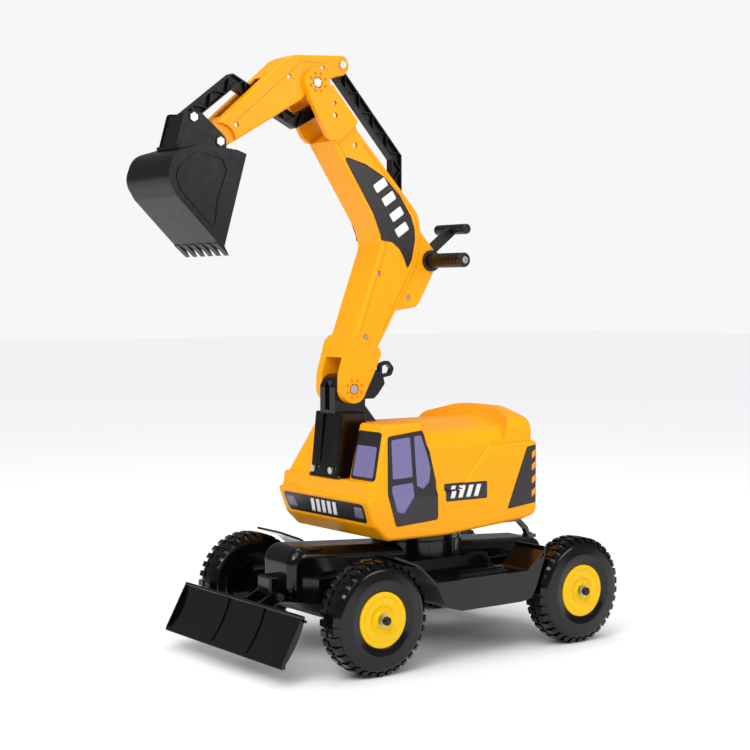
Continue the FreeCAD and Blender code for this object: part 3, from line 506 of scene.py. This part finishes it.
# ---------------------------------------------------------------- repeated mouldings
class Pattern:
    """A Geometry Nodes tree that repeats one small shape and ends in real mesh."""

    def __init__(self, name: str) -> None:
        """Open an empty tree with a geometry output.

        Args:
            name: name of the tree and of its piece.
        """
        self.name = name
        self.tree = bpy.data.node_groups.new(name, "GeometryNodeTree")
        self.tree.interface.new_socket("Geometry", in_out="OUTPUT", socket_type="NodeSocketGeometry")
        self.sockets: dict[str, str] = {}
        self.source: bpy.types.Node | None = None

    def size(self, label: str, kind: str = "NodeSocketFloat") -> None:
        """Declare one named input of the tree."""
        socket = self.tree.interface.new_socket(label, in_out="INPUT", socket_type=kind)
        self.sockets[label] = socket.identifier

    def finish(self, geometry: bpy.types.NodeSocket, values: dict[str, object]) -> bpy.types.Object:
        """Close the tree, run it and keep its mesh.

        Args:
            geometry: the instances to keep.
            values: a value for each named input.

        Returns:
            A plain mesh object at the origin.
        """
        assert self.source is not None
        real = add_node(self.tree, "GeometryNodeRealizeInstances", inputs={0: geometry})
        dressed = add_node(
            self.tree,
            "GeometryNodeSetMaterial",
            inputs={"Geometry": real.outputs[0], "Material": self.source.outputs["Material"]},
        )
        add_node(self.tree, "NodeGroupOutput", inputs={0: dressed.outputs[0]})
        carrier = bpy.data.objects.new(self.name + "_carrier", bpy.data.meshes.new(self.name + "_carrier"))
        bpy.context.scene.collection.objects.link(carrier)
        modifier = carrier.modifiers.new("pattern", "NODES")
        modifier.node_group = self.tree
        for label, value in values.items():
            modifier[self.sockets[label]] = value
        ready = carrier.evaluated_get(bpy.context.evaluated_depsgraph_get())
        mesh = bpy.data.meshes.new_from_object(ready)
        mesh.name = self.name
        piece = bpy.data.objects.new(self.name, mesh)
        bpy.context.scene.collection.objects.link(piece)
        bpy.data.objects.remove(carrier)
        return piece


@dataclass(frozen=True)
class StepStuds:
    """Rows of low round studs on the bevelled outer edge of a step."""

    name: str
    side: int
    along: int = 15
    across: int = 3
    pitch_mm: float = 12.0
    row_pitch_mm: float = 5.5
    radius_mm: float = 1.9
    inset_mm: float = 9.5
    height_mm: float = 144.2
    bevel_drop_mm: float = 19.0
    bevel_run_mm: float = 12.0

    def build(self, paint: bpy.types.Material) -> bpy.types.Object:
        """Make the studs of one step.

        Args:
            paint: the step's own finish.

        Returns:
            One mesh with every stud.
        """
        pattern = Pattern(self.name)
        for label in ("Pitch", "Row Pitch", "Radius"):
            pattern.size(label)
        for label in ("Along", "Across"):
            pattern.size(label, "NodeSocketInt")
        for label in ("Place", "Turn"):
            pattern.size(label, "NodeSocketVector")
        pattern.size("Material", "NodeSocketMaterial")
        tree = pattern.tree
        pattern.source = add_node(tree, "NodeGroupInput")
        given = pattern.source.outputs
        row = add_node(tree, "GeometryNodeMeshLine", inputs={"Count": given["Along"]})
        step_y = add_node(tree, "ShaderNodeCombineXYZ", inputs={"Y": given["Pitch"]})
        tree.links.new(step_y.outputs[0], row.inputs["Offset"])
        column = add_node(tree, "GeometryNodeMeshLine", inputs={"Count": given["Across"]})
        step_x = add_node(tree, "ShaderNodeCombineXYZ", inputs={"X": given["Row Pitch"]})
        tree.links.new(step_x.outputs[0], column.inputs["Offset"])
        field_of = add_node(
            tree,
            "GeometryNodeInstanceOnPoints",
            inputs={"Points": row.outputs[0], "Instance": column.outputs[0]},
        )
        spots = add_node(tree, "GeometryNodeRealizeInstances", inputs={0: field_of.outputs[0]})
        dome = add_node(
            tree, "GeometryNodeMeshUVSphere", inputs={"Segments": 10, "Rings": 6, "Radius": given["Radius"]}
        )
        studs = add_node(
            tree,
            "GeometryNodeInstanceOnPoints",
            inputs={"Points": spots.outputs[0], "Instance": dome.outputs[0]},
        )
        placed = add_node(
            tree,
            "GeometryNodeTransform",
            inputs={
                "Geometry": studs.outputs[0],
                "Translation": given["Place"],
                "Rotation": given["Turn"],
            },
        )
        low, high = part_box("step_left" if self.side > 0 else "step_right")
        edge = high.x if self.side > 0 else low.x
        start = -(self.along - 1) * self.pitch_mm / 2
        slope = math.atan2(self.bevel_drop_mm, self.bevel_run_mm)
        values = {
            "Pitch": self.pitch_mm * MM,
            "Row Pitch": self.row_pitch_mm * MM,
            "Radius": self.radius_mm * MM,
            "Along": self.along,
            "Across": self.across,
            "Place": (edge - self.side * self.inset_mm * MM, start * MM, self.height_mm * MM),
            "Turn": (0.0, slope if self.side > 0 else math.pi - slope, 0.0),
            "Material": paint,
        }
        return pattern.finish(placed.outputs[0], values)


@dataclass(frozen=True)
class DrumRibs:
    """Upright ribs round the fixed half of the turntable."""

    name: str = "turntable_ribs"
    count: int = 18
    width_mm: float = 4.0
    proud_mm: float = 1.6
    foot_mm: float = 167.0
    head_room_mm: float = 3.0

    def build(self, paint: bpy.types.Material) -> bpy.types.Object:
        """Make the ring of ribs.

        Args:
            paint: the chassis finish.

        Returns:
            One mesh with every rib.
        """
        low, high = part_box("turntable_base")
        radius = (high.x - low.x) / 2
        foot = self.foot_mm * MM
        tall = high.z - self.head_room_mm * MM - foot
        pattern = Pattern(self.name)
        pattern.size("Count", "NodeSocketInt")
        pattern.size("Radius")
        pattern.size("Rib", "NodeSocketVector")
        pattern.size("Place", "NodeSocketVector")
        pattern.size("Material", "NodeSocketMaterial")
        tree = pattern.tree
        pattern.source = add_node(tree, "NodeGroupInput")
        given = pattern.source.outputs
        circle = add_node(
            tree, "GeometryNodeMeshCircle", inputs={"Vertices": given["Count"], "Radius": given["Radius"]}
        )
        rib = add_node(tree, "GeometryNodeMeshCube", inputs={"Size": given["Rib"]})
        outward = add_node(tree, "GeometryNodeInputPosition")
        turn = add_node(
            tree,
            "FunctionNodeAlignRotationToVector",
            {"axis": "X", "pivot_axis": "Z"},
            {"Vector": outward.outputs[0]},
        )
        ribs = add_node(
            tree,
            "GeometryNodeInstanceOnPoints",
            inputs={"Points": circle.outputs[0], "Instance": rib.outputs[0], "Rotation": turn.outputs[0]},
        )
        placed = add_node(
            tree, "GeometryNodeTransform", inputs={"Geometry": ribs.outputs[0], "Translation": given["Place"]}
        )
        values = {
            "Count": self.count,
            "Radius": radius,
            "Rib": (2 * self.proud_mm * MM, self.width_mm * MM, tall),
            "Place": (0.0, (low.y + high.y) / 2, foot + tall / 2),
            "Material": paint,
        }
        return pattern.finish(placed.outputs[0], values)


# ---------------------------------------------------------------- sub-assemblies
@dataclass
class Frame:
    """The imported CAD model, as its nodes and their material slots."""

    nodes: dict[str, bpy.types.Object]
    slots: dict[str, str]
    paints: Paints

    def dress(self) -> None:
        """Give every CAD node the finish of its material slot."""
        for name, node in self.nodes.items():
            finish = SLOT_FINISH[self.slots[name]]
            node.data.materials.clear()
            node.data.materials.append(self.paints.get(finish))
            LOG.info("node %s wears %s", name, finish.name)

    def surface(self, name: str) -> BVHTree:
        """Give the surface of one CAD node, for laying stickers on."""
        mesh = self.nodes[name].data
        return BVHTree.FromPolygons([v.co for v in mesh.vertices], [p.vertices for p in mesh.polygons])


@dataclass
class BodyStickers:
    """Printed windows, panels and bars on the body."""

    frame: Frame
    body: str = "house"

    def build(self) -> None:
        """Lay every sticker on the body."""
        shell = self.frame.surface("body_shell")
        left_only = [
            Sticker("door_panel", (rounded(DOOR, 7),), PRINT_BLACK),
            Sticker("door_panes", DOOR_PANES, PRINT_LILAC, lift_mm=PRINT_LIFT_MM),
        ]
        each_side = [
            Sticker("rear_panel", (rounded(REAR_PANEL, 3),), PRINT_BLACK),
            Sticker("rear_chevrons", REAR_CHEVRONS, PRINT_ORANGE, lift_mm=PRINT_LIFT_MM),
            Sticker("side_badge", (rounded(BADGE, 4),), PRINT_BLACK),
            Sticker("side_bars", BADGE_BARS, PRINT_WHITE, lift_mm=PRINT_LIFT_MM),
        ]
        front = [
            Sticker("nose_panel", (rounded(NOSE, 8),), PRINT_BLACK),
            Sticker("nose_bars", NOSE_BARS, PRINT_WHITE, lift_mm=PRINT_LIFT_MM),
            Sticker("nose_lamps", NOSE_LAMPS, PRINT_GREY, lift_mm=PRINT_LIFT_MM),
            Sticker("cab_front_panel", (rounded(CAB_FRONT, 6),), PRINT_BLACK),
            Sticker("cab_front_pane", (rounded(CAB_FRONT_PANE, 5),), PRINT_LILAC, lift_mm=PRINT_LIFT_MM),
        ]
        for sticker in left_only:
            self._lay(sticker, shell, Axis.FROM_LEFT)
        for sticker in each_side:
            self._lay(sticker, shell, Axis.FROM_LEFT, "_left")
            self._lay(sticker, shell, Axis.FROM_RIGHT, "_right")
        for sticker in front:
            self._lay(sticker, shell, Axis.FROM_FRONT)

    def _lay(self, sticker: Sticker, surface: BVHTree, axis: Axis, suffix: str = "") -> None:
        """Build one sticker and let it ride on the body."""
        piece = sticker.build(surface, axis, self.frame.paints.get(sticker.finish), suffix)
        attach(piece, self.body)
        LOG.info("laid %s", piece.name)


@dataclass
class BoomStickers:
    """The dark fin on each side of the boom, with its stepped bars."""

    frame: Frame
    body: str = "boom"

    def build(self) -> None:
        """Lay the fin and its bars on both sides."""
        for suffix, node, axis in (
            ("_left", "boom_shell_left", Axis.FROM_LEFT),
            ("_right", "boom_shell_right", Axis.FROM_RIGHT),
        ):
            surface = self.frame.surface(node)
            fin = Sticker("boom_fin", (rounded(FIN, 6),), PRINT_BLACK, flat=True)
            bars = Sticker("boom_fin_bars", fin_bars(), PRINT_WHITE, lift_mm=PRINT_LIFT_MM, flat=True)
            for sticker in (fin, bars):
                piece = sticker.build(surface, axis, self.frame.paints.get(sticker.finish), suffix)
                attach(piece, self.body)
                LOG.info("laid %s", piece.name)


@dataclass
class Mouldings:
    """Small repeated mouldings on the chassis."""

    frame: Frame
    body: str = "chassis"

    def build(self) -> None:
        """Make the studs on both steps and the ribs round the turntable."""
        paint = self.frame.paints.get(CHASSIS_BLACK)
        pieces = [
            StepStuds("step_studs_left", 1).build(paint),
            StepStuds("step_studs_right", -1).build(paint),
            DrumRibs().build(paint),
        ]
        for piece in pieces:
            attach(piece, self.body)
            LOG.info("made %s with %d faces", piece.name, len(piece.data.polygons))


@dataclass(frozen=True)
class Studio:
    """Pale floor, soft light and the camera."""

    azimuth_deg: float = 53.835
    pitch_deg: float = 2.819
    lens_mm: float = 75.9
    place: tuple[float, float, float] = (2.3913, -1.8279, 0.6525)
    middle: Vector = field(default_factory=lambda: Vector((0, -0.1, 0.45)))

    def build(self) -> None:
        """Set up the floor, the sky, the lamps and the camera."""
        self._floor()
        self._sky()
        self._lamp("key_light", (1.6, -2.8, 2.6), 1.4, 34.0)
        self._lamp("fill_light", (3.2, 1.4, 1.6), 1.2, 18.0)
        self._lamp("top_light", (-0.6, 0.4, 3.2), 1.8, 20.0)
        self._sun()
        self._camera()

    def _floor(self) -> None:
        """Lay a large pale floor at the wheels' level."""
        bpy.ops.mesh.primitive_plane_add(size=40)
        floor = bpy.context.object
        floor.name = "floor"
        floor.data.materials.append(Finish("pale_floor", "#F6F6F7", "#F4F4F5", 0.7, specular=0.0).build())

    def _sky(self) -> None:
        """Light everything evenly with a pale sky."""
        world = bpy.data.worlds.new("pale_sky")
        world.use_nodes = True
        tree = world.node_tree
        tree.nodes.clear()
        rays = add_node(tree, "ShaderNodeLightPath")
        seen = add_node(tree, "ShaderNodeBackground", inputs={"Color": srgb("#F7F7F8"), "Strength": 1.0})
        lit = add_node(tree, "ShaderNodeBackground", inputs={"Color": srgb("#F8F8FA"), "Strength": 0.72})
        dim = add_node(tree, "ShaderNodeBackground", inputs={"Color": srgb("#F4F6FA"), "Strength": 0.22})
        # mirror-like rays meet a dimmer sky, so that black plastic stays black
        soft = add_node(
            tree,
            "ShaderNodeMixShader",
            inputs={0: rays.outputs["Is Glossy Ray"], 1: lit.outputs[0], 2: dim.outputs[0]},
        )
        both = add_node(
            tree,
            "ShaderNodeMixShader",
            inputs={0: rays.outputs["Is Camera Ray"], 1: soft.outputs[0], 2: seen.outputs[0]},
        )
        add_node(tree, "ShaderNodeOutputWorld", inputs={"Surface": both.outputs[0]})
        bpy.context.scene.world = world
        bpy.context.scene.view_settings.view_transform = "Standard"

    def _lamp(self, name: str, place: tuple[float, float, float], size: float, power: float) -> None:
        """Hang one soft square lamp that faces the middle of the object."""
        light = bpy.data.lights.new(name, "AREA")
        light.size = size
        light.energy = power
        lamp = bpy.data.objects.new(name, light)
        lamp.location = place
        lamp.rotation_euler = (self.middle - Vector(place)).to_track_quat("-Z", "Y").to_euler()
        bpy.context.scene.collection.objects.link(lamp)

    def _sun(self) -> None:
        """Add a very soft sun, so that the floor stays pale far behind the object."""
        light = bpy.data.lights.new("soft_sun", "SUN")
        light.energy = 1.1
        light.angle = math.radians(50)
        light.specular_factor = 0.0
        sun = bpy.data.objects.new("soft_sun", light)
        sun.rotation_euler = (math.radians(28), math.radians(22), 0.0)
        bpy.context.scene.collection.objects.link(sun)

    def _camera(self) -> None:
        """Place the camera and make it the scene's own."""
        data = bpy.data.cameras.new("camera")
        data.lens = self.lens_mm
        data.sensor_width = 36.0
        camera = bpy.data.objects.new("camera", data)
        camera.location = self.place
        camera.rotation_euler = (math.radians(90 - self.pitch_deg), 0.0, math.radians(self.azimuth_deg))
        bpy.context.scene.collection.objects.link(camera)
        bpy.context.scene.camera = camera


def corners(box: tuple[Vector, Vector]) -> list[list[float]]:
    """Give a box as plain lists of numbers."""
    return [list(box[0]), list(box[1])]


def main() -> None:
    """Load the frame, dress it and add the made pieces."""
    logging.basicConfig(level=logging.INFO, format="%(name)s: %(message)s")
    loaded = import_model()
    slots = {part["node"]: part["material_slot"] for part in loaded["record"]["subparts"]}
    frame = Frame(loaded["nodes"], slots, Paints())
    frame.dress()
    BodyStickers(frame).build()
    BoomStickers(frame).build()
    Mouldings(frame).build()
    Studio().build()


if __name__ == "__main__":
    main()
